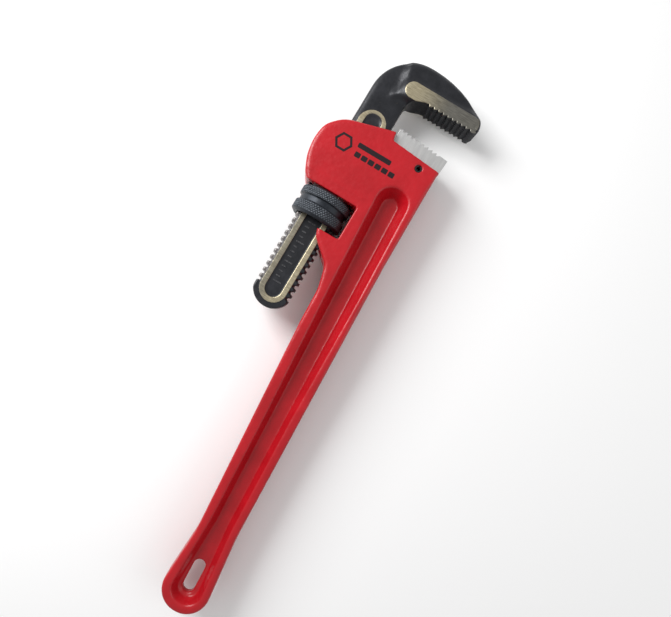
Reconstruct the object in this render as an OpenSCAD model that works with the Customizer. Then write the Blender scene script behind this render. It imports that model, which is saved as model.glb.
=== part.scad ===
// Heavy-duty straight pipe wrench: cast handle with an integral housing, sliding hook jaw,
// pinned heel jaw, knurled adjusting nut, and the coil and leaf springs that steady the jaw.
// Frame: +X along the shank towards the hook, +Y away from the handle, +Z up. Millimetres.
// The wrench lies flat: z = 0 is the lowest point of the nut, x = y = 0 the middle of its box.

// Piece to draw

/* [Handle] */
// Length from the window floor to the hang end
handle_l = 282; // [200:1:380]
// Thickness of the housing across its two faces
head_t = 30; // [24:0.5:40]
// Thickness of the handle beam across its flanges
beam_t = 22; // [16:0.5:30]
// Thickness of the web between the two recesses
web_t = 6; // [4:0.5:10]
// Height of the head above the window
head_l = 59.4; // [50:0.1:75]
// Width of the hang slot
slot_w = 8.6; // [6:0.2:12]
// Length of the hang slot
slot_l = 25.2; // [16:0.5:34]

/* [Shank and thread] */
// Width of the shank over its thread
shank_w = 28.8; // [22:0.2:36]
// Thickness of the shank over its ground rims
shank_t = 12.6; // [10:0.2:16]
// Length from the hook teeth to the free end of the shank
shank_l = 179; // [150:1:220]
// Thread pitch, five threads to the inch
thread_pitch = 5.08; // [4:0.02:7]
// Depth of the thread
thread_depth = 2.25; // [1.6:0.05:2.8]

/* [Hook jaw] */
// Opening between the tooth tips as drawn
jaw_open = 22.8; // [4:0.2:70]
// Thickness of the jaw across its ground faces
jaw_t = 21.4; // [18:0.2:26]
// Height of the hook above its teeth
hook_h = 27.3; // [20:0.1:34]
// Reach of the hook from the shank to its tip
hook_reach = 53.2; // [50:0.2:66]
// Number of tooth grooves in the hook jaw
hook_teeth = 10; // [6:1:11]

/* [Heel jaw] */
// Height of the tooth tips above the seat
heel_h = 11.9; // [9:0.1:15]
// Length of the heel jaw along its seat
heel_l = 38.8; // [34:0.2:44]
// Number of teeth on the heel jaw
heel_teeth = 9; // [5:1:9]
// Diameter of the spring pin through the heel jaw
pin_d = 5.2; // [4:0.1:7]

/* [Nut] */
// Length of the nut
nut_l = 20.5; // [16:0.5:26]
// Wall of the nut outside the shank
nut_wall = 5.1; // [4:0.1:7]
// Width of the plain groove round the nut
nut_groove_w = 4; // [2:0.5:6]

/* [Springs] */
// Diameter of the coil spring
coil_d = 7.6; // [6:0.2:9]
// Diameter of the coil spring wire
wire_d = 1; // [0.6:0.1:1.4]
// Thickness of the leaf spring
leaf_t = 0.8; // [0.5:0.1:1]

/* [Hidden] */
// Clearances
thread_gap = 0.3;   // nut ridge to thread groove, each flank and crest
bore_gap = 0.45;    // nut bore to thread tips
slide_gap = 0.7;    // shank faces to housing cheeks
seat_gap = 0.05;    // heel jaw to seat, pin to bore
tongue_gap = 0.15;  // heel jaw tongue to pocket
nut_gap = 2.2;      // nut to the back wall of the window
rock_gap = 4.2;     // shank to passage wall on the heel side, room to rock
back_gap = 2.4;     // shank to passage wall on the outer side

// Levels along the shank
win_top = 92;
win_bot = win_top - nut_l - 5.5;
nut_x = win_top - 1.5 - nut_l;
seat_x = win_top + head_l - 6.8;
hang_x = win_bot - handle_l;
jaw_tilt = 4.7;
tooth_x = seat_x + heel_h * cos(jaw_tilt) + jaw_open;
shank_x = tooth_x - shank_l;

// Radii and half widths about the shank axis
hw = shank_w / 2;
root_r = hw - thread_depth;
nut_r = hw + nut_wall;
bore_r = hw + bore_gap;
rim_hw = sqrt(pow(root_r - 0.1, 2) - pow(shank_t / 2, 2));
panel_hw = rim_hw - 3.95;
seat_y = right(5.4);

// Depth to the handle side, and height to the outer side, of the shank's edges
function right(d) = -hw - d;
function left(d) = hw + d;
// Level at a fraction of the handle, from the window floor (0) to the hang end (1)
function along(f) = win_bot - f * handle_l;

// ---- Curves ----------------------------------------------------------------------------

arc_step = 7;
function unit(v) = v / norm(v);
function xy(p) = [p.x, p.y];

// Points of the arc that rounds corner b, between a and c, by b's third value
function corner(a, b, c) =
  b.z == 0 ? [xy(b)] :
  let (u = unit(xy(a) - xy(b)), v = unit(xy(c) - xy(b)), half = acos(u * v) / 2,
       t = b.z / tan(half), m = xy(b) + unit(u + v) * b.z / sin(half),
       p = xy(b) + u * t - m, q = xy(b) + v * t - m,
       a0 = atan2(p.y, p.x), turn = (atan2(q.y, q.x) - a0 + 540) % 360 - 180,
       n = max(2, ceil(abs(turn) / arc_step)))
  [for (i = [0:n]) m + b.z * [cos(a0 + turn * i / n), sin(a0 + turn * i / n)]];

// Closed outline with rounded corners, from [x, y, radius] points
function loop(pts) = let (n = len(pts))
  [for (i = [0:n - 1]) each corner(pts[(i + n - 1) % n], pts[i], pts[(i + 1) % n])];

// Open line with rounded corners; its two ends stay sharp
function line(pts) = let (n = len(pts))
  [xy(pts[0]), for (i = [1:n - 2]) each corner(pts[i - 1], pts[i], pts[i + 1]), xy(pts[n - 1])];

// Solid swept along [x, y, z] points; section points are [outwards, up], out being to the left
module sweep(path, section, closed = false) {
  n = len(path);
  m = len(section);
  last = closed ? n : n - 1;
  function near(i) = path[closed ? (i + n) % n : max(0, min(n - 1, i))];
  pts = [for (i = [0:n - 1]) let (d = unit(xy(near(i + 1)) - xy(near(i - 1)))) for (s = section)
    [path[i].x - d.y * s.x, path[i].y + d.x * s.x, path[i].z + s.y]];
  sides = [for (i = [0:last - 1], j = [0:m - 1])
    let (a = i * m + j, b = i * m + (j + 1) % m, c = ((i + 1) % n) * m + j,
         d = ((i + 1) % n) * m + (j + 1) % m)
    each [[b, a, c], [b, c, d]]];
  ends = closed ? [] : [[for (j = [0:m - 1]) j], [for (j = [m - 1:-1:0]) (n - 1) * m + j]];
  polyhedron(pts, concat(sides, ends));
}

// Cuts a rounded edge of radius r along a line at the given height, on both faces
module round_edges(path, r, steps = 3) {
  section = concat([[1, 1], [-r, 1]],
    [for (i = [0:steps]) let (a = 90 * i / steps) [-r + r * sin(a), -r + r * cos(a)]], [[1, -r]]);
  for (side = [0, 1]) mirror([0, 0, side]) sweep(path, section);
}

// Flat plate of one outline, centred on the middle plane
module plate(outline, t) {
  linear_extrude(height = t, center = true) polygon(outline);
}

// Prism along Y of an outline drawn as [x, z]
module across(outline, y0, y1) {
  translate([0, y1, 0]) rotate([90, 0, 0]) linear_extrude(height = y1 - y0) polygon(outline);
}

// ---- Handle ----------------------------------------------------------------------------

// Outer edge of the head, from the window round the bulge to the heel seat
head_edge = line([[win_top, left(4.8), 0], [win_top + 4, left(8.4), 8],
  [win_top + 14, left(13), 24], [win_top + 26, left(15), 30],
  [win_top + head_l - 20.9, left(13.5), 15], [win_top + head_l - 10, left(3.5), 24],
  [win_top + head_l, right(4), 0]]);

// Outer edge of the handle, from the heel seat round the hang end to the beak
seat_end = [seat_x - (heel_l + 0.4) * sin(jaw_tilt), seat_y - (heel_l + 0.4) * cos(jaw_tilt)];
beam_edge = line([[seat_end.x, seat_end.y, 0], [seat_end.x - 3, right(43.8), 2],
  [win_bot, right(44.8), 200], [along(0.765), right(54), 120], [hang_x, right(61.9), 17],
  [hang_x, right(23.6), 17], [along(0.8), right(26.4), 90], [win_bot - 62, right(13.8), 90],
  [win_bot - 36, right(12.8), 30], [win_bot - 19.5, right(8.4), 9],
  [win_bot - 5.5, right(-7.2), 5], [win_bot, right(-9.2), 0]]);

window_back = -nut_r - nut_gap;
casting_outline = concat(head_edge, [[seat_x + 0.4, seat_y + 0.2], [seat_x, seat_y]], beam_edge,
  loop([[win_bot, right(-9), 0], [win_bot, window_back, 1.5], [win_top, window_back, 1.5],
    [win_top, left(3), 0]]));

// Half thickness of the casting at each level
taper = [[-1000, beam_t / 2], [win_bot - 125, beam_t / 2], [win_bot - 30, head_t / 2],
  [1000, head_t / 2]];
function half_t(x) = lookup(x, taper);
// A line run 2 mm past both its ends, at the height of the casting's face
function at_face(path) = let (n = len(path), a = path[0] + 2 * unit(path[0] - path[1]),
    b = path[n - 1] + 2 * unit(path[n - 1] - path[n - 2]))
  [for (p = concat([a], path, [b])) [p.x, p.y, half_t(p.x)]];

// Recess in each side, drawn down its own axis from the centre of its upper end
recess_x = win_top + 14.5;
recess_y = right(26.6);
recess_a = atan((right(42.6) - recess_y) / (hang_x + 17 - recess_x));
recess_l = norm([hang_x + 17 - recess_x, right(42.6) - recess_y]) + 6.6;
recess_floor = loop([[6.2, 6.2, 6.1], [6.2, -6.2, 6.1], [-recess_l + 58, -4.7, 90],
  [-recess_l, -8.4, 7.4], [-recess_l, 8.4, 7.4], [-recess_l + 58, 4.7, 90]]);
draft = 0.45;

module recess() {
  deep = head_t / 2 - web_t / 2 + 1;
  translate([recess_x, recess_y, 0]) rotate(recess_a) {
    translate([0, 0, web_t / 2]) linear_extrude(height = deep) polygon(recess_floor);
    sweep([for (p = recess_floor) [p.x, p.y, web_t / 2]],
      [[-1, 0.5], [0, 0], [draft * deep, deep], [-1, deep]], closed = true);
  }
}

pin_x = seat_x - 7.8 - 24.8 * sin(jaw_tilt) * 0.1;
pin_y = right(30.1);
tongue_w = 16;
coil_x = seat_x - 20.6;
coil_floor = right(rock_gap + 10.4);

module handle() {
  color("firebrick") difference() {
    intersection() {
      plate(casting_outline, head_t);
      across(concat(taper, [for (i = [3:-1:0]) [taper[i].x, -taper[i].y]]), -200, 100);
    }
    round_edges(at_face(head_edge), 2.4);
    round_edges(at_face(beam_edge), 2);
    for (side = [0, 1]) mirror([0, 0, side]) recess();
    // Hang slot through the web
    translate([hang_x + 25, right(42), 0]) rotate(recess_a) {
      for (s = [-1, 1]) translate([s * (slot_l - slot_w) / 2, 0, 0])
        cylinder(d = slot_w, h = head_t, center = true, $fn = 48);
      cube([slot_l - slot_w, slot_w, head_t], center = true);
    }
    // Passage for the shank through the head, and the fork of the beak
    passage_t = shank_t + 2 * slide_gap;
    translate([win_top - 1, right(rock_gap), -passage_t / 2])
      cube([head_l + 4, shank_w + rock_gap + back_gap, passage_t]);
    translate([win_bot - 40, right(3.1), -passage_t / 2]) cube([41, shank_w, passage_t]);
    // Pocket for the heel jaw tongue, and its pin bore
    translate([pin_x - 7.5, pin_y - tongue_w / 2 - tongue_gap, -5 - tongue_gap])
      cube([40, tongue_w + 2 * tongue_gap, 10 + 2 * tongue_gap]);
    translate([pin_x, pin_y, 0])
      cylinder(d = pin_d + 2 * seat_gap, h = head_t + 2, center = true, $fn = 48);
    // Pocket for the coil spring
    translate([coil_x, 0, 0]) rotate([90, 0, 0]) cylinder(d = coil_d + 0.8, h = -coil_floor, $fn = 48);
    // Two shallow casting marks on each face of the head
    for (side = [-1, 1], x = [win_top + 6.9, win_top + 12.4])
      translate([x - 0.4, right(14), side * (head_t / 2 - 0.2) - 0.3])
        cube([0.8, shank_w + 8, 0.6]);
  }
}

// ---- Heel jaw and pin ------------------------------------------------------------------

heel_pitch = 3.55;
tooth_drop = 2;

module heel_jaw() {
  // Along the seat: a long flank rises to each tip, a short one drops behind it
  profile = concat([[-0.2, seat_gap], [-1.2, heel_h - 1.3]],
    [for (i = [0:heel_teeth - 1]) each [[1.03 + i * heel_pitch, heel_h],
      [1.68 + i * heel_pitch, heel_h - tooth_drop]]],
    [[heel_teeth * heel_pitch + 0.4, heel_h - 0.35], [heel_l, heel_h - 0.4],
      [heel_l + 0.2, 1.6], [heel_l - 0.8, seat_gap]]);
  color("silver") difference() {
    union() {
      translate([seat_x, seat_y, 0]) rotate(-90 - jaw_tilt) plate(profile, jaw_t);
      translate([pin_x - 7.5 + tongue_gap, pin_y - tongue_w / 2, -5])
        cube([seat_x - pin_x + 9, tongue_w, 10]);
    }
    translate([pin_x, pin_y, 0])
      cylinder(d = pin_d + 2 * seat_gap, h = head_t, center = true, $fn = 48);
  }
}

// Slotted spring pin
module heel_jaw_pin() {
  color("dimgray") translate([pin_x, pin_y, 0]) difference() {
    cylinder(d = pin_d, h = head_t - 1, center = true, $fn = 48);
    cylinder(d = pin_d * 0.58, h = head_t, center = true, $fn = 48);
    translate([0, -0.4, -head_t / 2]) cube([pin_d, 0.8, head_t]);
  }
}

// ---- Hook jaw --------------------------------------------------------------------------

hook_pitch = 3.71;
hook_drop = 1.7;
first_groove = right(13.7);
plain_x = min(tooth_x - 61.5, win_top + 26);

// Outer edge of the hook, from the shank over the top to the tip
hook_edge = line([[plain_x, left(-0.3), 0], [tooth_x + hook_h, left(-0.3), shank_w * 1.08],
  [tooth_x + hook_h, right(25.6), 72], [tooth_x + 10.1, right(hook_reach), 10],
  [tooth_x, right(hook_reach), 4], [tooth_x, right(hook_reach - 4.1), 0]]);
// Inner edge, from the tip along the teeth to the throat and down the shank
hook_inner = concat(
  [for (i = [hook_teeth - 1:-1:0]) each [[tooth_x, first_groove - i * hook_pitch - 0.75],
    [tooth_x + hook_drop, first_groove - i * hook_pitch]]],
  line([[tooth_x + 1.1, first_groove + 3.6, 0], [tooth_x - 3, right(-0.6), 6],
    [plain_x, right(-0.6), 0]]));

// Half thickness of the plain shank, and of the jaw under its ground band
face = shank_t - 0.6;
jaw_half = jaw_t / 2 - 0.3;
// The jaw's ridge, as [level, half thickness] along X and along Y
rise_x = [[tooth_x - 7, face / 2 - 0.8], [tooth_x - 1.5, jaw_half], [tooth_x + 11.5, jaw_half],
  [tooth_x + hook_h + 2, jaw_half - 3.4]];
rise_y = [[right(100), jaw_half], [right(-8.9), jaw_half], [right(-15.9), face / 2 - 0.8]];
function jaw_edge(p) = max(face / 2, min(lookup(p.x, rise_x), lookup(p.y, rise_y)));

thread_x = shank_x + 15.4;
thread_n = floor((plain_x - thread_x) / thread_pitch);
helix_a = atan(thread_pitch / (PI * (shank_w - thread_depth)));

// One thread groove across the edge on the given side of the shank
module thread_groove(x, side) {
  flare = 0.8 + (thread_depth + 1) / 3;
  translate([x, 0, 0]) rotate([0, side * helix_a, 0]) rotate([0, 90, 0])
    rotate([0, 0, side * 90 - 42]) rotate_extrude(angle = 84, $fn = 72)
      polygon([[root_r, -0.8], [hw + 1, -flare], [hw + 1, flare], [root_r, 0.8]]);
}

// Stadium of half width r from the centre of the shank's rounded end to x1
module stadium(r, t, x1, in = 0) {
  x0 = shank_x + hw + in;
  for (x = [x0, x1]) translate([x, 0, 0]) cylinder(r = r, h = t, center = true, $fn = 72);
  translate([x0, -r, -t / 2]) cube([x1 - x0, 2 * r, t]);
}

module hook_jaw() {
  panel_x = tooth_x - 29.5;
  body = concat(hook_edge, hook_inner);
  color("darkslategray") difference() {
    union() {
      // Shank: round-edged bar, thicker rims, plain neck
      intersection() {
        stadium(hw + 0.4, face, plain_x + 20, 0.4);
        translate([shank_x - 1, 0, 0]) rotate([0, 90, 0])
          cylinder(r = hw, h = plain_x - shank_x + 2, $fn = 96);
      }
      stadium(rim_hw, shank_t, panel_x);
      plate(body, face);
      // Ridge behind the teeth, falling away to the shank and to the outer edge
      intersection() {
        plate(body, 2 * jaw_half);
        across(concat(rise_x, [for (i = [3:-1:0]) [rise_x[i].x, -rise_x[i].y]]), -200, 100);
        rotate(90) across(concat(rise_y, [for (i = [2:-1:0]) [rise_y[i].x, -rise_y[i].y]]),
          -400, 100);
      }
      // Ground band along the teeth
      intersection() {
        plate(body, jaw_t);
        plate(loop([[tooth_x - 1.2, right(-6.8), 5.6], [tooth_x - 1.2, right(3), 0.5],
          [tooth_x - 2, right(80), 0], [tooth_x + 10.5, right(80), 0],
          [tooth_x + 10.5, right(-6.8), 5.6]]), jaw_t + 2);
      }
    }
    round_edges(concat([[tooth_x - 36, left(-0.3), face / 2]], [for (p = hook_edge)
      if (p.x > (p.y > 0 ? tooth_x - 10 : tooth_x + 1)) [p.x, p.y, jaw_edge(p)]]), 3.2);
    for (side = [0, 1]) mirror([0, 0, side]) translate([0, 0, shank_t / 2 - 1.3 + 10])
      stadium(panel_hw, 20, panel_x);
    for (i = [0:thread_n - 1], side = [-1, 1])
      thread_groove(thread_x + i * thread_pitch - (side < 0 ? thread_pitch / 2 : 0), side);
  }
}

// ---- Adjusting nut ---------------------------------------------------------------------

// Ridge that runs in the thread, in phase with the shank's grooves
module nut_ridge() {
  x0 = nut_x + 2.6;
  turns = (nut_l - 5.2) / thread_pitch;
  n = round(turns * 36);
  crest = 0.8 + thread_gap / 3 - thread_gap;
  root = crest + (bore_r + 0.6 - root_r - thread_gap) / 3;
  section = [[root_r + thread_gap, -crest], [bore_r + 0.6, -root], [bore_r + 0.6, root],
    [root_r + thread_gap, crest]];
  pts = [for (i = [0:n]) let (x = x0 + i * turns * thread_pitch / n,
      a = 360 * (x - thread_x) / thread_pitch) for (s = section)
    [x + s.y, s.x * cos(a), s.x * sin(a)]];
  polyhedron(pts, concat(
    [[3, 2, 1, 0]],
    [for (i = [0:n - 1], j = [0:3]) let (a = 4 * i + j, b = 4 * i + (j + 1) % 4)
      each [[a, b, b + 4], [a, b + 4, a + 4]]],
    [[4 * n, 4 * n + 1, 4 * n + 2, 4 * n + 3]]));
}

module adjusting_nut() {
  g0 = nut_x + (nut_l - nut_groove_w) * 0.55;
  g1 = g0 + nut_groove_w;
  nut_end = nut_x + nut_l;
  color("slategray") {
    rotate([0, 90, 0]) rotate_extrude($fn = 96) polygon([[bore_r, nut_x + 0.8],
      [bore_r + 1.2, nut_x], [nut_r - 3, nut_x], [nut_r, nut_x + 2.2], [nut_r, g0 - 0.8],
      [nut_r - 1.7, g0], [nut_r - 1.7, g1], [nut_r, g1 + 0.8], [nut_r, nut_end - 1.6],
      [nut_r - 1.6, nut_end], [bore_r + 1.2, nut_end], [bore_r, nut_end - 0.8]]);
    nut_ridge();
  }
}

// ---- Springs ---------------------------------------------------------------------------

leaf_y = right(0.5);

module coil_spring() {
  turns = 5;
  n = turns * 20;
  y0 = coil_floor + wire_d / 2 + 0.1;
  y1 = leaf_y - leaf_t - 0.15 - wire_d / 2;
  r = (coil_d - wire_d) / 2;
  // Both end coils lie flat, so the rise is in the middle turns only
  function rise(f) = y0 + (y1 - y0) * max(0, min(1, (f - 0.15) / 0.7));
  pts = [for (i = [0:n]) let (a = 360 * turns * i / n) for (j = [0:7])
    let (w = r + wire_d / 2 * cos(45 * j))
    [coil_x + w * cos(a), rise(i / n) + wire_d / 2 * sin(45 * j), w * sin(a)]];
  color("darkgray") polyhedron(pts, concat(
    [[for (j = [7:-1:0]) j]],
    [for (i = [0:n - 1], j = [0:7]) let (a = 8 * i + j, b = 8 * i + (j + 1) % 8)
      each [[a, b, b + 8], [a, b + 8, a + 8]]],
    [[for (j = [0:7]) 8 * n + j]]));
}

module flat_spring() {
  x0 = win_top + 6;
  x1 = seat_x - 8.6;
  top = line([[x0, leaf_y - 0.9, 0], [x0 + 3, leaf_y, 12], [x1 - 6, leaf_y, 12],
    [x1, leaf_y - 0.6, 0]]);
  n = len(top);
  color("gray") difference() {
    plate(concat(top, [for (i = [n - 1:-1:0]) top[i] - [0, leaf_t]]), 9);
    translate([coil_x, 0, 0]) rotate([90, 0, 0]) cylinder(d = 2.1, h = hw + 8, $fn = 32);
  }
}

// Rivet through the leaf, its head inside the coil
module spring_rivet() {
  color("dimgray") translate([coil_x, leaf_y, 0]) rotate([90, 0, 0]) {
    cylinder(d = 2, h = leaf_t + 0.2, $fn = 32);
    translate([0, 0, leaf_t + 0.05]) cylinder(d1 = 4.4, d2 = 3.2, h = 1.2, $fn = 32);
  }
}

// ---- Placement -------------------------------------------------------------------------

low_y = min([for (p = concat(beam_edge, hook_edge)) p.y]);
high_y = max([for (p = head_edge) p.y]);
mid_x = (hang_x + tooth_x + hook_h) / 2;
mid_y = (low_y + high_y) / 2;

translate([-mid_x, -mid_y, nut_r]) {
  handle();
  heel_jaw();
  heel_jaw_pin();
  hook_jaw();
  adjusting_nut();
  coil_spring();
  flat_spring();
  spring_rivet();
}
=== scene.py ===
import math

import bmesh
import bpy
from mathutils import Matrix, Vector


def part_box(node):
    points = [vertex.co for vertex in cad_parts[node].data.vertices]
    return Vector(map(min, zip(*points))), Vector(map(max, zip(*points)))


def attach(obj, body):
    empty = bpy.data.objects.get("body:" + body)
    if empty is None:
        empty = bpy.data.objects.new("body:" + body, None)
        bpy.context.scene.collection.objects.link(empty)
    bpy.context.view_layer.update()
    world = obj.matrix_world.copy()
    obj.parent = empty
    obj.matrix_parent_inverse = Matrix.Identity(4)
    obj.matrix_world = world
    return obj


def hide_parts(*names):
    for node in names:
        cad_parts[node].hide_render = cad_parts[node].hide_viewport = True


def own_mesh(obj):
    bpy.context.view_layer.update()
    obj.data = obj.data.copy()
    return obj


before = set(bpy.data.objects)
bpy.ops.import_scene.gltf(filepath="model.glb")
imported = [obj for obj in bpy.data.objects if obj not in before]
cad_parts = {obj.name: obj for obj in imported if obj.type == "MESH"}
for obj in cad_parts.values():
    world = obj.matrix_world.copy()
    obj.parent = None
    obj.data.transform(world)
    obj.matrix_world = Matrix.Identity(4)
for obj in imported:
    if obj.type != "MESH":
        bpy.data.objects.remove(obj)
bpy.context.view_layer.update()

# ---- Viewpoint ---------------------------------------------------------------------------
# The wrench lies flat and is seen from straight above, 0.38 m over its middle plane, with
# its hook towards the upper right. Levels are millimetres from a point on the shank's axis:
# along it towards the hook, across it away from the handle, and up.

nut_low, nut_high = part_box("adjusting_nut")
WINDOW_TOP = 92
ORIGIN = Vector(
    (
        nut_high[0] + 0.0015 - WINDOW_TOP / 1000,
        (nut_low[1] + nut_high[1]) / 2,
        (nut_low[2] + nut_high[2]) / 2,
    )
)


def at(x, y, z=0):
    """The place of a level on the wrench, in metres."""
    return ORIGIN + Vector((x, y, z)) / 1000


camera_data = bpy.data.cameras.new("camera")
camera_data.sensor_width = 36
camera_data.lens = 28.33
camera_data.shift_x = 0.0459
camera_data.shift_y = 0.0332
camera_data.clip_start = 0.01
camera = bpy.data.objects.new("camera", camera_data)
camera.location = at(0, -34.5, 380)
camera.rotation_euler = (0, 0, math.radians(-59.1))
bpy.context.scene.collection.objects.link(camera)
bpy.context.scene.camera = camera
bpy.context.scene.view_settings.view_transform = "Standard"

# ---- Handle casting ------------------------------------------------------------------------
# Ductile iron, cast in one piece with the housing round the jaws, fettled, and coated in
# red gloss enamel. The mould and the enamel leave its edges round.


def smooth(low, high, value):
    """0 below low, 1 above high, and an even curve between."""
    t = max(0, min(1, (value - low) / (high - low)))
    return t * t * (3 - 2 * t)


def copied(node, name):
    """The node's own shape as a new piece, its faces welded together."""
    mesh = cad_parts[node].data.copy()
    mesh.name = name
    mesh.materials.clear()
    bm = bmesh.new()
    bm.from_mesh(mesh)
    bmesh.ops.remove_doubles(bm, verts=bm.verts, dist=2e-6)
    bm.to_mesh(mesh)
    bm.free()
    piece = bpy.data.objects.new(name, mesh)
    bpy.context.scene.collection.objects.link(piece)
    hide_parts(node)
    return piece


def finished(piece):
    """Applies the piece's modifiers to its mesh."""
    depsgraph = bpy.context.evaluated_depsgraph_get()
    mesh = bpy.data.meshes.new_from_object(piece.evaluated_get(depsgraph))
    piece.modifiers.clear()
    piece.data = mesh
    mesh.shade_smooth()


def regridded(piece, grain):
    """Gives the piece an even mesh of so many millimetres, fine enough to be worked."""
    grid = piece.modifiers.new("grid", "REMESH")
    grid.mode = "VOXEL"
    grid.voxel_size = grain / 1000
    finished(piece)


def worn_round(piece, passes, share, only_height=False):
    """Rounds the piece's edges, or its heights only, by a share from 0 to 1 at each place."""
    group = piece.vertex_groups.new(name="share")
    for vertex in piece.data.vertices:
        weight = share(*((vertex.co - ORIGIN) * 1000))
        if weight > 0:
            group.add([vertex.index], weight, "REPLACE")
    soft = piece.modifiers.new("soft", "SMOOTH")
    soft.factor = 0.5
    soft.iterations = passes
    soft.use_x = soft.use_y = not only_height
    soft.vertex_group = "share"
    finished(piece)
    piece.vertex_groups.clear()


def thinned(piece, keep):
    """Leaves out the triangles that flat places don't need."""
    thin = piece.modifiers.new("thin", "DECIMATE")
    thin.ratio = keep
    finished(piece)


SEAT_X, SEAT_Y = 140, -14
WINDOW_SIDES = (63, 93, -23, 40)
MACHINED = 0.12


def cast_share(x, y, z):
    """Soft all over, except at the machined seat, pin hole and window."""
    x0, x1, y0, y1 = WINDOW_SIDES
    seat = smooth(6, 14, math.hypot(max(0, SEAT_X - x), max(0, y - SEAT_Y)))
    window = smooth(0, 4, max(x - x1, x0 - x, y - y1, y0 - y))
    passage = smooth(7, 10, abs(z)) if y > -20 else 1
    return min(1, MACHINED + (1 - MACHINED) * min(seat, window, passage))


CAST_GRAIN, KEPT_SHARE = 0.55, 0.36
casting = copied("handle", "casting")
regridded(casting, CAST_GRAIN)
worn_round(casting, 44, cast_share)

# The head swells a little in two low ribs over the window, as (level, width, height)
HEAD_RIBS = ((98.9, 1.5, 0.30), (105.4, 2.2, 0.22))
HEAD_FACE = 13.5
for vertex in casting.data.vertices:
    x, y, z = (vertex.co - ORIGIN) * 1000
    if abs(z) > HEAD_FACE and 94 < x < 112:
        inside = smooth(HEAD_FACE, HEAD_FACE + 1.3, abs(z)) * smooth(-27, -20, y)
        swell = sum(h * math.exp(-(((x - rib) / w) ** 2)) for rib, w, h in HEAD_RIBS)
        vertex.co.z += math.copysign(inside * swell / 1000, z)
thinned(casting, KEPT_SHARE)


def material(name, metallic, roughness):
    """A new material, its node tree and its shader."""
    made = bpy.data.materials.new(name)
    made.use_nodes = True
    shader = made.node_tree.nodes["Principled BSDF"]
    shader.inputs["Metallic"].default_value = metallic
    shader.inputs["Roughness"].default_value = roughness
    return made, made.node_tree, shader


def node(tree, kind, **settings):
    """A new node with its settings and its unlinked inputs."""
    new = tree.nodes.new("ShaderNode" + kind)
    for key, value in settings.items():
        if hasattr(new, key):
            setattr(new, key, value)
        else:
            new.inputs[key.replace("_", " ")].default_value = value
    return new


def levels(tree, scale=(1, 1, 1)):
    """The levels in millimetres of each point, stretched by a scale."""
    mapping = node(tree, "Mapping", Scale=[1000 * s for s in scale])
    mapping.inputs["Location"].default_value = [-1000 * s * o for s, o in zip(scale, ORIGIN)]
    tree.links.new(node(tree, "TexCoord").outputs["Object"], mapping.inputs["Vector"])
    return mapping.outputs["Vector"]


def noise(tree, vector, scale, detail=3, rough=0.55):
    """Cloudy grain, so many to the millimetre."""
    new = node(tree, "TexNoise", Scale=scale, Detail=detail, Roughness=rough)
    tree.links.new(vector, new.inputs["Vector"])
    return new.outputs["Fac"]


def calc(tree, operation, *values):
    """One step of arithmetic on sockets and numbers."""
    new = node(tree, "Math", operation=operation)
    for socket, value in zip(new.inputs, values):
        if isinstance(value, (int, float)):
            socket.default_value = value
        else:
            tree.links.new(value, socket)
    return new.outputs[0]


def times(tree, first, *others):
    """Sockets and numbers multiplied together."""
    for other in others:
        first = calc(tree, "MULTIPLY", first, other)
    return first


def fade(tree, value, low, high, start=0.0, end=1.0):
    """Goes evenly from start to end as the value goes from low to high."""
    new = node(tree, "MapRange", interpolation_type="SMOOTHSTEP")
    ends = {"From Min": low, "From Max": high, "To Min": start, "To Max": end}
    for name, number in ends.items():
        new.inputs[name].default_value = number
    tree.links.new(value, new.inputs["Value"])
    return new.outputs["Result"]


def ramp(tree, value, *stops):
    """Colours along a value, as (position, colour) stops."""
    new = node(tree, "ValToRGB")
    points = new.color_ramp.elements
    while len(points) < len(stops):
        points.new(0.5)
    for point, (position, colour) in zip(points, stops):
        point.position = position
        point.color = (*colour, 1)
    tree.links.new(value, new.inputs["Fac"])
    return new.outputs["Color"]


def blend(tree, share, first, second):
    """The first colour, giving way to the second by a share."""
    new = node(tree, "Mix", data_type="RGBA")
    tree.links.new(share, new.inputs["Factor"])
    for name, colour in (("A", first), ("B", second)):
        socket = [i for i in new.inputs if i.name == name and i.type == "RGBA"][0]
        if isinstance(colour, tuple):
            socket.default_value = (*colour, 1)
        else:
            tree.links.new(colour, socket)
    return [o for o in new.outputs if o.type == "RGBA"][0]


def relief(tree, shader, *layers):
    """Bumps one over another, as (height, millimetres)."""
    normal = None
    for height, depth in layers:
        new = node(tree, "Bump", Strength=1.0, Distance=depth / 1000)
        tree.links.new(height, new.inputs["Height"])
        if normal:
            tree.links.new(normal, new.inputs["Normal"])
        normal = new.outputs["Normal"]
    tree.links.new(normal, shader.inputs["Normal"])


enamel, tree, shader = material("red_enamel", 0.0, 0.34)
shader.inputs["Specular IOR Level"].default_value = 0.35
shader.inputs["Coat Weight"].default_value = 0.18
shader.inputs["Coat Roughness"].default_value = 0.22
where = levels(tree)
flow = noise(tree, where, 0.05, 4)
speck = fade(tree, noise(tree, where, 1.3, 2), 0.70, 0.78)
red = ramp(tree, flow, (0.3, (0.37, 0.004, 0.009)), (0.7, (0.46, 0.006, 0.013)))
tree.links.new(blend(tree, speck, red, (0.31, 0.004, 0.008)), shader.inputs["Base Color"])
gloss = fade(tree, noise(tree, where, 0.4, 3), 0.3, 0.75, 0.28, 0.42)
tree.links.new(gloss, shader.inputs["Roughness"])
relief(tree, shader, (noise(tree, where, 0.22, 3), 0.30), (noise(tree, where, 1.1, 3), 0.06))
casting.data.materials.append(enamel)
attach(casting, "casting")

# ---- Printed mark --------------------------------------------------------------------------
# A plain mark screen-printed in black ink on the head: a nut's outline, a bar and a row of
# blocks. It stands a few hundredths of a millimetre on the enamel.

INK_LOW, INK_TOP = 14.9, 15.035


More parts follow.
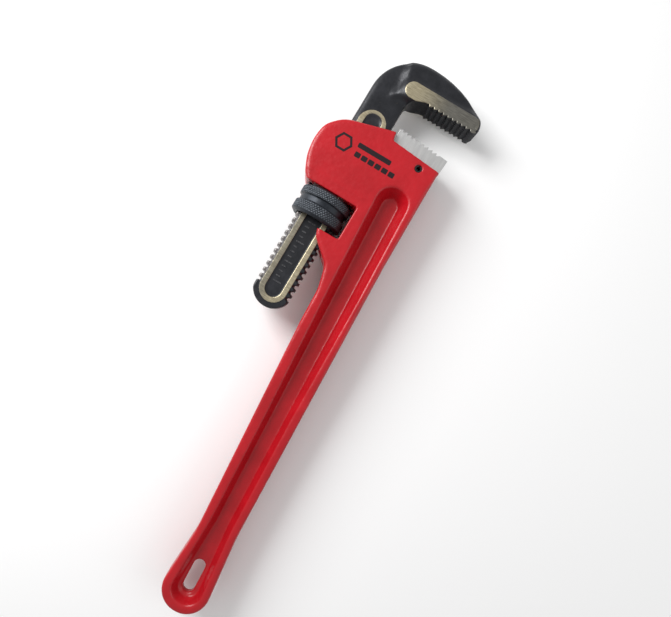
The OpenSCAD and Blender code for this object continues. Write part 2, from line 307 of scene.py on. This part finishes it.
def raised(bm, faces, height):
    """Pulls flat faces up into a solid."""
    pulled = bmesh.ops.extrude_face_region(bm, geom=faces)
    top = [v for v in pulled["geom"] if isinstance(v, bmesh.types.BMVert)]
    bmesh.ops.translate(bm, verts=top, vec=(0, 0, height / 1000))


def block(bm, x, y, z, length, width, corner):
    """A flat rectangle with round corners, its length across the shank."""
    made = bmesh.ops.create_grid(bm, x_segments=1, y_segments=1, size=0.0005)
    size = Matrix.Diagonal((width, length, 1, 1))
    bmesh.ops.transform(bm, matrix=Matrix.Translation(at(x, y, z)) @ size, verts=made["verts"])
    bmesh.ops.bevel(
        bm,
        geom=made["verts"],
        offset=corner / 1000,
        segments=3,
        profile=0.5,
        affect="VERTICES",
        material=-1,
    )


def new_piece(bm, name, body, finish):
    """Makes a piece of a bmesh, rides it on a body and gives it its finish."""
    bmesh.ops.recalc_face_normals(bm, faces=bm.faces)
    mesh = bpy.data.meshes.new(name)
    bm.to_mesh(mesh)
    bm.free()
    mesh.materials.append(finish)
    piece = bpy.data.objects.new(name, mesh)
    bpy.context.scene.collection.objects.link(piece)
    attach(piece, body)
    return piece


bm = bmesh.new()
hexagon = bmesh.ops.create_circle(bm, cap_ends=True, segments=6, radius=0.0069)
place = Matrix.Translation(at(126, 9.4, INK_LOW))
bmesh.ops.transform(bm, matrix=place, verts=hexagon["verts"])
middle = bm.faces[:]
bmesh.ops.inset_region(bm, faces=middle, thickness=0.0019, use_boundary=True)
bmesh.ops.delete(bm, geom=middle, context="FACES_ONLY")
block(bm, 129.6, -13.2, INK_LOW, 26, 3.6, 0.8)
for i in range(6):
    block(bm, 123.0, -3.4 - 5.4 * i, INK_LOW, 4.4, 3.8, 0.7)
raised(bm, bm.faces[:], INK_TOP - INK_LOW)

ink, tree, shader = material("black_ink", 0.0, 0.6)
shader.inputs["Specular IOR Level"].default_value = 0.2
where = levels(tree)
dots = noise(tree, where, 2.2, 4, 0.7)
tree.links.new(
    ramp(tree, dots, (0.35, (0.010, 0.006, 0.008)), (0.8, (0.030, 0.013, 0.016))),
    shader.inputs["Base Color"],
)
relief(tree, shader, (noise(tree, where, 4, 2), 0.01))
new_piece(bm, "printed_mark", "casting", ink)

# ---- Heel jaw --------------------------------------------------------------------------------
# A block of tool steel, milled and ground bright, lying on its seat in the head with its
# tongue in the pocket. The grinding lines run across it.

heel = copied("heel_jaw", "heel_jaw_block")
bm = bmesh.new()
bm.from_mesh(heel.data)
bmesh.ops.dissolve_limit(
    bm, angle_limit=math.radians(0.5), verts=bm.verts, edges=bm.edges, use_dissolve_boundaries=False
)
bm.to_mesh(heel.data)
bm.free()
edge = heel.modifiers.new("edge", "BEVEL")
edge.width = 0.00018
edge.segments = 2
edge.limit_method = "ANGLE"
edge.angle_limit = math.radians(25)
edge.use_clamp_overlap = True
finished(heel)
heel.data.shade_flat()

bright, tree, shader = material("ground_steel", 0.75, 0.45)
lines = noise(tree, levels(tree, (0.12, 2.6, 0.12)), 1, 4, 0.65)
cloud = noise(tree, levels(tree, (0.02, 0.25, 0.1)), 1, 3)
tone = calc(tree, "ADD", times(tree, lines, 0.6), times(tree, cloud, 0.4))
tree.links.new(
    ramp(tree, tone, (0.3, (0.47, 0.47, 0.47)), (0.7, (0.62, 0.62, 0.61))),
    shader.inputs["Base Color"],
)
tree.links.new(fade(tree, lines, 0.25, 0.75, 0.38, 0.55), shader.inputs["Roughness"])
relief(tree, shader, (lines, 0.014))
heel.data.materials.append(bright)
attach(heel, "casting")

# ---- Spring pin ------------------------------------------------------------------------------
# A slotted tube of spring steel, driven through the head and the tongue of the
# heel jaw, and left just under the enamel. Coloured near-black, as painted shade in its hole.

pin_shade_finish, tree, shader = material("near_black_pin_shade", 0.3, 0.6)
grain = noise(tree, levels(tree, (1, 1, 0.1)), 2.2, 3)
tree.links.new(
    ramp(tree, grain, (0.3, (0.004, 0.004, 0.004)), (0.7, (0.014, 0.014, 0.015))),
    shader.inputs["Base Color"],
)
relief(tree, shader, (grain, 0.03))


def finish_as_drawn(name, finish):
    """Gives a node that is shown as drawn its finish."""
    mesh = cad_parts[name].data
    mesh.materials.clear()
    mesh.materials.append(finish)


finish_as_drawn("heel_jaw_pin", pin_shade_finish)

# ---- Hook jaw --------------------------------------------------------------------------------
# A drop forging, black from its heat treatment. Its teeth are milled and its thread rolled,
# and a band beside the teeth and a rim round each panel of the shank are ground bright.

SHANK_END = (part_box("hook_jaw")[0][0] - ORIGIN[0]) * 1000
TEETH_X = 179.26
SHANK_TOP = 150
BAND_X, BAND_END, BAND_HALF = TEETH_X + 4.65, -13.45, 5.85
TIP_START, TIP_END = -63, -73


def from_band(x, y):
    """Distance from the middle line of the ground band."""
    return math.hypot(x - BAND_X, max(0, y - BAND_END))


def forged_share(x, y, z):
    """Soft over the neck and the back of the jaw, and sharp at the teeth and the thread."""
    if y < -20 and x < BAND_X:
        return 0
    tip = 0.1 + 0.9 * smooth(TIP_END, TIP_START, y)
    neck = smooth(SHANK_TOP, SHANK_TOP + 8, x)
    return tip * neck * smooth(5.6, 8.6, from_band(x, y))


FORGED_GRAIN = 0.35
hook = copied("hook_jaw", "hook_forging")
regridded(hook, FORGED_GRAIN)
worn_round(hook, 2, lambda x, y, z: 1)
worn_round(hook, 60, forged_share)

# A hollow runs along the outer side of the band
HOLLOW_OUT, HOLLOW_WIDTH, HOLLOW_DEPTH = 10.2, 3.0, 1.7
for vertex in hook.data.vertices:
    x, y, z = (vertex.co - ORIGIN) * 1000
    if x > 170 and abs(z) > 5:
        off_line = (from_band(x, y) - HOLLOW_OUT) / HOLLOW_WIDTH
        fall = HOLLOW_DEPTH * math.exp(-(off_line**2))
        fall *= smooth(5, 8, abs(z)) * smooth(-64, -52, y)
        vertex.co.z -= math.copysign(fall / 1000, z)
worn_round(hook, 260, forged_share, only_height=True)
thinned(hook, KEPT_SHARE)

PANEL_TOP = TEETH_X - 29.5
PANEL_END = SHANK_END + 14.4
RIM_HALF, PANEL_HALF = 10.27, 6.32

forged, tree, shader = material("forged_steel", 0.5, 0.4)
where = levels(tree)
xyz = node(tree, "SeparateXYZ")
tree.links.new(where, xyz.inputs[0])
x, y, z = xyz.outputs
depth = calc(tree, "ABSOLUTE", z)
ragged = times(tree, calc(tree, "SUBTRACT", noise(tree, where, 0.9, 3), 0.5), 0.5)


def diagonal(first, second):
    """The length of the slope over two sides."""
    squares = [calc(tree, "POWER", side, 2.0) for side in (first, second)]
    return calc(tree, "SQRT", calc(tree, "ADD", *squares))


# Band beside the teeth, round at its inner end
past_end = calc(tree, "MAXIMUM", calc(tree, "SUBTRACT", y, BAND_END), 0.0)
band = diagonal(past_end, calc(tree, "SUBTRACT", x, BAND_X))
band = fade(tree, calc(tree, "ADD", band, ragged), BAND_HALF - 0.1, BAND_HALF + 0.1, 1, 0)
on_top = fade(tree, depth, 9.9, 10.2)
ground_band = times(tree, band, on_top)

# Rim: between the panel's edge and the threads, on the faces of the shank
ends = calc(tree, "SUBTRACT", x, (PANEL_TOP + PANEL_END) / 2)
ends = calc(tree, "SUBTRACT", calc(tree, "ABSOLUTE", ends), (PANEL_TOP - PANEL_END) / 2)
round_shank = diagonal(calc(tree, "MAXIMUM", ends, 0.0), y)
rim_out = calc(tree, "ADD", round_shank, ragged)
rim_out = fade(tree, rim_out, RIM_HALF - 0.15, RIM_HALF + 0.05, 1, 0)
rim_in = fade(tree, round_shank, PANEL_HALF - 0.05, PANEL_HALF + 0.15)
rim_face = fade(tree, depth, 6.0, 6.15)
rim_zone = fade(tree, x, PANEL_TOP + 11, PANEL_TOP + 11.5, 1, 0)
rim = times(tree, rim_out, rim_in, rim_face, rim_zone)
ground = calc(tree, "MAXIMUM", ground_band, rim)

# Threads: lighter grey along the shank's outer edge on the lit side, a painted highlight
thread_sheen = fade(tree, y, 10.4, 11.2)
thread_sheen = times(tree, thread_sheen, fade(tree, x, 112, 118, 1, 0), fade(tree, x, 13.5, 16.5))

lines = noise(tree, levels(tree, (1.8, 0.14, 0.2)), 1, 4, 0.65)
straw = ramp(
    tree, lines, (0.25, (0.27, 0.23, 0.15)), (0.55, (0.50, 0.44, 0.30)), (0.8, (0.66, 0.60, 0.44))
)
# Ground steel is duller along the jaw, and on the left rim by the nut as painted shade
duller = ramp(tree, lines, (0.3, (0.13, 0.125, 0.11)), (0.7, (0.25, 0.24, 0.21)))
along_jaw = times(tree, fade(tree, y, -45, -14, 1, 0), on_top)
left_rim_shade = times(tree, fade(tree, y, -4, 8), fade(tree, x, 120, 126, 0.6, 0))
straw = blend(tree, calc(tree, "MAXIMUM", along_jaw, left_rim_shade), straw, duller)
scale = noise(tree, where, 0.12, 5)
black = ramp(tree, scale, (0.3, (0.009, 0.010, 0.013)), (0.75, (0.022, 0.023, 0.028)))
fleck = fade(tree, noise(tree, where, 1.6, 2), 0.72, 0.77)
black = blend(tree, times(tree, fleck, 0.6), black, (0.16, 0.13, 0.10))
# Grey of the painted highlight on the threads
sheen_grey = noise(tree, where, 0.5, 4)
sheen_grey = ramp(tree, sheen_grey, (0.3, (0.11, 0.10, 0.10)), (0.75, (0.27, 0.25, 0.24)))
colour = blend(tree, ground, blend(tree, thread_sheen, black, sheen_grey), straw)
tree.links.new(colour, shader.inputs["Base Color"])
# Metallic: high on the ground steel, and raised on the painted highlight of the threads
metallic_share = calc(tree, "ADD", times(tree, thread_sheen, 0.4), 0.35)
metallic_share = calc(tree, "MAXIMUM", times(tree, ground, 0.85), metallic_share)
tree.links.new(metallic_share, shader.inputs["Metallic"])

# The flanks of the teeth are duller than the rest
flanks = fade(tree, x, TEETH_X + 3.2, TEETH_X + 3.6, 1, 0)
below_top = calc(tree, "SUBTRACT", 1.0, on_top)
flanks = times(tree, flanks, fade(tree, y, -20, -16, 1, 0), below_top)
matt = fade(tree, noise(tree, where, 0.5, 3), 0.3, 0.75, 0.30, 0.46)
matt = calc(tree, "ADD", matt, times(tree, flanks, 0.35))
tree.links.new(matt, shader.inputs["Roughness"])
unground = calc(tree, "SUBTRACT", 1.0, ground)
forged_skin = times(tree, noise(tree, where, 0.7, 4, 0.6), unground)
relief(tree, shader, (forged_skin, 0.06), (times(tree, lines, ground), 0.03))
hook.data.materials.append(forged)
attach(hook, "hook")

# ---- Scale on the shank -----------------------------------------------------------------------
# A row of ticks raised in the panel on each face of the shank, forged with it. They show how
# far the jaw is open.

TICK_ROOT, TICK_TOP = 4.9, 5.32
TICKS, FIRST_TICK, TICK_GAP, TICK_SIDE = 24, 20, 4.0, 3.6
bm = bmesh.new()
for i in range(TICKS):
    length = 6.4 if i % 4 == 0 else 3.2
    block(bm, FIRST_TICK + TICK_GAP * i, TICK_SIDE - length / 2, TICK_ROOT, length, 0.9, 0.3)
raised(bm, bm.faces[:], TICK_TOP - TICK_ROOT)
back = bmesh.ops.duplicate(bm, geom=bm.verts[:] + bm.edges[:] + bm.faces[:])
half_turn = Matrix.Rotation(math.pi, 4, "X")
half_turn = Matrix.Translation(ORIGIN) @ half_turn @ Matrix.Translation(-ORIGIN)
back = [v for v in back["geom"] if isinstance(v, bmesh.types.BMVert)]
bmesh.ops.transform(bm, matrix=half_turn, verts=back)
ticks, tree, shader = material("rubbed_black_steel", 0.6, 0.45)
grain = noise(tree, levels(tree), 0.9, 3)
tree.links.new(
    ramp(tree, grain, (0.35, (0.03, 0.03, 0.034)), (0.7, (0.11, 0.11, 0.115))),
    shader.inputs["Base Color"],
)
relief(tree, shader, (grain, 0.03))
new_piece(bm, "shank_scale", "hook", ticks)

# ---- Adjusting nut ---------------------------------------------------------------------------
# Turned from bar and threaded, with two bands of diamond knurling and a plain groove between
# them, then blackened. A ridge in its bore runs in the shank's thread.

NUT_X0, NUT_X1 = 70, 90.5
NUT_R, BORE = 19.5, 14.85
GROOVE_0, GROOVE_1, GROOVE_R = 79.075, 83.075, 17.8
KNURLS, KNURL_RISE, KNURL_DEPTH = 60, 2.5, 0.55

outline = [
    (BORE, NUT_X0 + 0.8),
    (BORE + 1.2, NUT_X0),
    (NUT_R - 2.6, NUT_X0),
    (NUT_R, NUT_X0 + 2.0),
    (NUT_R, GROOVE_0 - 0.8),
    (GROOVE_R, GROOVE_0),
    (GROOVE_R, GROOVE_1),
    (NUT_R, GROOVE_1 + 0.8),
    (NUT_R, NUT_X1 - 1.6),
    (NUT_R - 1.6, NUT_X1),
    (BORE + 1.2, NUT_X1),
    (BORE, NUT_X1 - 0.8),
]
bm = bmesh.new()
corners = [bm.verts.new(at(x, 0, r)) for r, x in outline]
face = bm.faces.new(corners)
bmesh.ops.bevel(
    bm,
    geom=corners[2:10],
    offset=0.0005,
    segments=3,
    profile=0.5,
    affect="VERTICES",
    material=-1,
)
bmesh.ops.delete(bm, geom=bm.faces[:], context="FACES_ONLY")

# The knurled lengths of the outline are cut finely, and the rest is left as it is
RIM_LOW, SHORTEST, CUT = (GROOVE_R - 0.2) / 1000, 0.0009, 0.00028
for e in bm.edges[:]:
    length = e.calc_length()
    if min(v.co.z for v in e.verts) > ORIGIN.z + RIM_LOW and length > SHORTEST:
        bmesh.ops.subdivide_edges(bm, edges=[e], cuts=round(length / CUT))
bmesh.ops.spin(
    bm,
    geom=bm.verts[:] + bm.edges[:],
    cent=ORIGIN,
    axis=(1, 0, 0),
    angle=2 * math.pi,
    steps=KNURLS * 8,
    use_merge=True,
)


def wave(turns):
    """Rises evenly from 0 to 1 and falls back, once a turn."""
    return 1 - abs(2 * (turns % 1) - 1)


for vertex in bm.verts:
    x, y, z = (vertex.co - ORIGIN) * 1000
    radius, angle = math.hypot(y, z), math.atan2(z, y)
    around = angle / (2 * math.pi) * KNURLS
    diamond = min(1, 1.5 * min(wave(around + x / KNURL_RISE), wave(around - x / KNURL_RISE)))
    limit = NUT_R - KNURL_DEPTH * (1 - diamond)
    if radius > limit:
        vertex.co = at(x, y * limit / radius, z * limit / radius)

# The ridge: one section carried round and along, three turns
PITCH, RIDGE_TURNS, RIDGE_STEPS = 5.08, 3.012, 132
RIDGE_X = NUT_X0 + 2.6
THREAD_START = TEETH_X - 179 + 15.4
CREST_R, ROOT_R = 12.45, BORE + 0.55
phase = 2 * math.pi * (RIDGE_X - THREAD_START) / PITCH
section = []
for radius, side in ((CREST_R, -0.6), (ROOT_R, -1.25), (ROOT_R, 1.25), (CREST_R, 0.6)):
    corner = at(RIDGE_X + side, radius * math.cos(phase), radius * math.sin(phase))
    section.append(bm.verts.new(corner))
start = bm.faces.new(section)
bmesh.ops.spin(
    bm,
    geom=section + list(start.edges) + [start],
    cent=ORIGIN,
    axis=(1, 0, 0),
    dvec=(RIDGE_TURNS * PITCH / RIDGE_STEPS / 1000, 0, 0),
    angle=2 * math.pi * RIDGE_TURNS,
    steps=RIDGE_STEPS,
    use_merge=False,
)
bmesh.ops.holes_fill(bm, edges=[e for e in bm.edges if e.is_boundary], sides=6)

blackened, tree, shader = material("blackened_nut", 0.55, 0.38)
where = levels(tree)
xyz = node(tree, "SeparateXYZ")
tree.links.new(where, xyz.inputs[0])
radius = diagonal(xyz.outputs[1], xyz.outputs[2])
# Knurl crests lighter than the valleys: rubbed, and partly a painted highlight
crest = fade(tree, radius, NUT_R - KNURL_DEPTH, NUT_R - 0.02)
dull = noise(tree, where, 0.35, 4)
blue = ramp(tree, dull, (0.3, (0.012, 0.015, 0.020)), (0.7, (0.026, 0.031, 0.040)))
crest_wear_and_highlight = ramp(tree, dull, (0.3, (0.075, 0.085, 0.10)), (0.7, (0.15, 0.165, 0.185)))
tree.links.new(blend(tree, times(tree, crest, 0.75), blue, crest_wear_and_highlight), shader.inputs["Base Color"])
tree.links.new(fade(tree, dull, 0.3, 0.7, 0.34, 0.5), shader.inputs["Roughness"])
turned = noise(tree, levels(tree, (6, 0.05, 0.05)), 1, 2)
relief(tree, shader, (turned, 0.02), (noise(tree, where, 3, 2), 0.01))
nut = new_piece(bm, "knurled_nut", "nut", blackened)
nut.data.shade_smooth()
nut.data.set_sharp_from_angle(angle=math.radians(38))
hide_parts("adjusting_nut")

# ---- Springs ---------------------------------------------------------------------------------
# A short coil in a pocket of the head pushes a leaf of spring steel against the shank. A small
# rivet keeps the leaf over the coil. All three are oiled and hidden in the head.

oiled, tree, shader = material("oiled_spring_steel", 0.9, 0.35)
grain = noise(tree, levels(tree), 0.7, 3)
tree.links.new(
    ramp(tree, grain, (0.3, (0.10, 0.10, 0.11)), (0.7, (0.22, 0.22, 0.23))),
    shader.inputs["Base Color"],
)
tree.links.new(fade(tree, grain, 0.3, 0.7, 0.28, 0.45), shader.inputs["Roughness"])
relief(tree, shader, (noise(tree, levels(tree, (1, 0.2, 1)), 4, 2), 0.01))
for name in ("flat_spring", "spring_rivet"):
    finish_as_drawn(name, oiled)

# The coil: its end turns lie closed, and the three between them are open
COIL_R, WIRE_R, TURN_STEPS = 3.3, 0.5, 24
OPEN_TURNS, PRESSED = 3, 0.89
coil_low, coil_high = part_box("coil_spring")
coil_base = (Vector(coil_low) + Vector(coil_high)) / 2
coil_base.y = coil_low[1]
coil_rise = 1000 * (coil_high[1] - coil_low[1]) - 2 * WIRE_R
closed_rise = 2 * WIRE_R + 0.05
open_rise = (coil_rise - 2 * closed_rise) / OPEN_TURNS
bm = bmesh.new()
bmesh.ops.create_circle(bm, cap_ends=True, segments=10, radius=WIRE_R / 1000)
place = Matrix.Translation(coil_base + Vector((COIL_R, WIRE_R, 0)) / 1000)
bmesh.ops.transform(bm, matrix=place, verts=bm.verts)
wire = bm.verts[:] + bm.edges[:] + bm.faces[:]
for turns, rise in ((1, closed_rise), (OPEN_TURNS, open_rise), (1, closed_rise)):
    wire = bmesh.ops.spin(
        bm,
        geom=wire,
        cent=coil_base,
        axis=(0, 1, 0),
        dvec=(0, rise / TURN_STEPS / 1000, 0),
        angle=2 * math.pi * turns,
        steps=TURN_STEPS * turns,
        use_merge=False,
    )["geom_last"]
coil = new_piece(bm, "wound_coil", "casting", oiled)
coil.data.shade_smooth()
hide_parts("coil_spring")
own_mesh(coil)

# ---- Floor and light -------------------------------------------------------------------------
# The wrench lies on a plain pale floor. A large soft light stands at the upper left of the
# view, and a weak one opposite. The room adds an even white light.

floor_data = bpy.data.meshes.new("floor")
bm = bmesh.new()
bmesh.ops.create_grid(bm, x_segments=2, y_segments=2, size=4)
bm.to_mesh(floor_data)
bm.free()
floor = bpy.data.objects.new("floor", floor_data)
bpy.context.scene.collection.objects.link(floor)
pale, tree, shader = material("pale_floor", 0.0, 0.95)
shader.inputs["Base Color"].default_value = (0.93, 0.93, 0.93, 1)
shader.inputs["Specular IOR Level"].default_value = 0.1
floor.data.materials.append(pale)


def lamp(name, size, power, position, aim=(0, 0, 0)):
    """A soft square light at a place, turned to face another."""
    data = bpy.data.lights.new(name, "AREA")
    data.size = size
    data.energy = power
    light = bpy.data.objects.new(name, data)
    light.location = position
    light.rotation_euler = (Vector(aim) - Vector(position)).to_track_quat("-Z", "Y").to_euler()
    bpy.context.scene.collection.objects.link(light)


lamp("window_light", 0.45, 6.2, (0.2, 0.55, 0.45), (0.08, 0, 0))
lamp("fill_light", 0.7, 1.6, (0.2, -0.8, 0.6))
world = bpy.data.worlds.new("studio")
world.use_nodes = True
world.node_tree.nodes["Background"].inputs["Color"].default_value = (1, 1, 1, 1)
world.node_tree.nodes["Background"].inputs["Strength"].default_value = 0.52
bpy.context.scene.world = world
